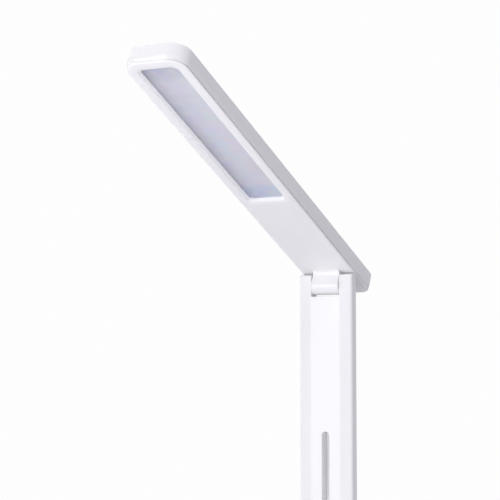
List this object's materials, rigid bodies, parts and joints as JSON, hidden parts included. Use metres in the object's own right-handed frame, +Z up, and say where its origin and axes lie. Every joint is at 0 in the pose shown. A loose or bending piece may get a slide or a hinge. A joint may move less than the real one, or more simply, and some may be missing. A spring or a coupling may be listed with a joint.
{
  "type": "folding desk lamp",
  "caption": "Slim folding desk lamp: a flat bar head with a long recessed light window tilts on a slotted flat arm, which folds onto a weighted rectangular base.",
  "frame": {"origin": "centre of the rubber pad's underside, on the table", "axes": "+Z up, -Y towards the tip of the head, +X to the side of the power button"},
  "size_m": [0.112, 0.2531, 0.4223],
  "materials": {
    "white_shell": "moulded white plastic with a soft gloss",
    "white_bracket": "white paint with a soft gloss",
    "button_grey": "fine matt",
    "dark_plastic": "fine matt",
    "pad_rubber": "ribbed matt",
    "ballast_steel": "dull coated",
    "bright_steel": "bright",
    "spreader_aluminium": "rolled",
    "bush_brass": "turned",
    "friction_pad": "fibre washer",
    "washer_nylon": "plain nylon washer",
    "lead_rubber": "matt",
    "battery_wrap": "film wrap",
    "circuit_board": "solder mask",
    "white_board": "white solder mask",
    "chip_phosphor": "phosphor",
    "diffuser_sheet": "frosted sheet, unlit"
  },
  "bodies": {
    "base": {"base_cover": "white_shell", "base_plate": "dark_plastic", "base_pad": "pad_rubber", "ballast": "ballast_steel", "hinge_bracket": "white_bracket", "fold_pin": "bright_steel", "fold_pin_caps": "button_grey", "fold_washers": "friction_pad", "bracket_screws": "bright_steel", "base_screws": "bright_steel", "ballast_screws": "bright_steel", "battery_pack": "battery_wrap", "control_board": "circuit_board", "board_screws": "bright_steel", "push_switch": "dark_plastic", "charge_board": "circuit_board", "charge_socket": "bright_steel"},
    "button": {"power_button": "button_grey", "switch_plunger": "dark_plastic"},
    "arm": {"arm_front_shell": "white_shell", "arm_rear_cover": "white_shell", "arm_foot": "white_shell", "fold_bushes": "bush_brass", "arm_bars": "ballast_steel", "arm_lead": "lead_rubber", "arm_screws": "bright_steel", "tilt_pin": "bright_steel", "tilt_pin_plug": "white_shell", "tilt_washers": "washer_nylon"},
    "head": {"head_top_shell": "white_shell", "head_bezel": "white_shell", "tilt_bush": "bush_brass", "knuckle_plate": "bright_steel", "knuckle_screws": "bright_steel", "diffuser": "diffuser_sheet", "reflector_tray": "white_shell", "led_board": "white_board", "led_chips": "chip_phosphor", "heat_spreader": "spreader_aluminium", "led_screws": "bright_steel", "head_lead": "lead_rubber"}
  },
  "joints": [
    {"name": "arm_fold", "type": "hinge", "parent": "base", "child": "arm", "pos_m": [0, 0.06, 0.04405], "axis": [1, 0, 0], "range_deg": [-15, 90]},
    {"name": "head_tilt", "type": "hinge", "parent": "arm", "child": "head", "pos_m": [0, 0.06, 0.30605], "axis": [1, 0, 0], "range_deg": [-66.3, 113.7]},
    {"name": "power_press", "type": "slide", "parent": "base", "child": "button", "axis": [0, 0, -1], "range_m": [0, 0.0006], "stiffness_N_per_m": 1000, "springref_m": -0.001}
  ]
}
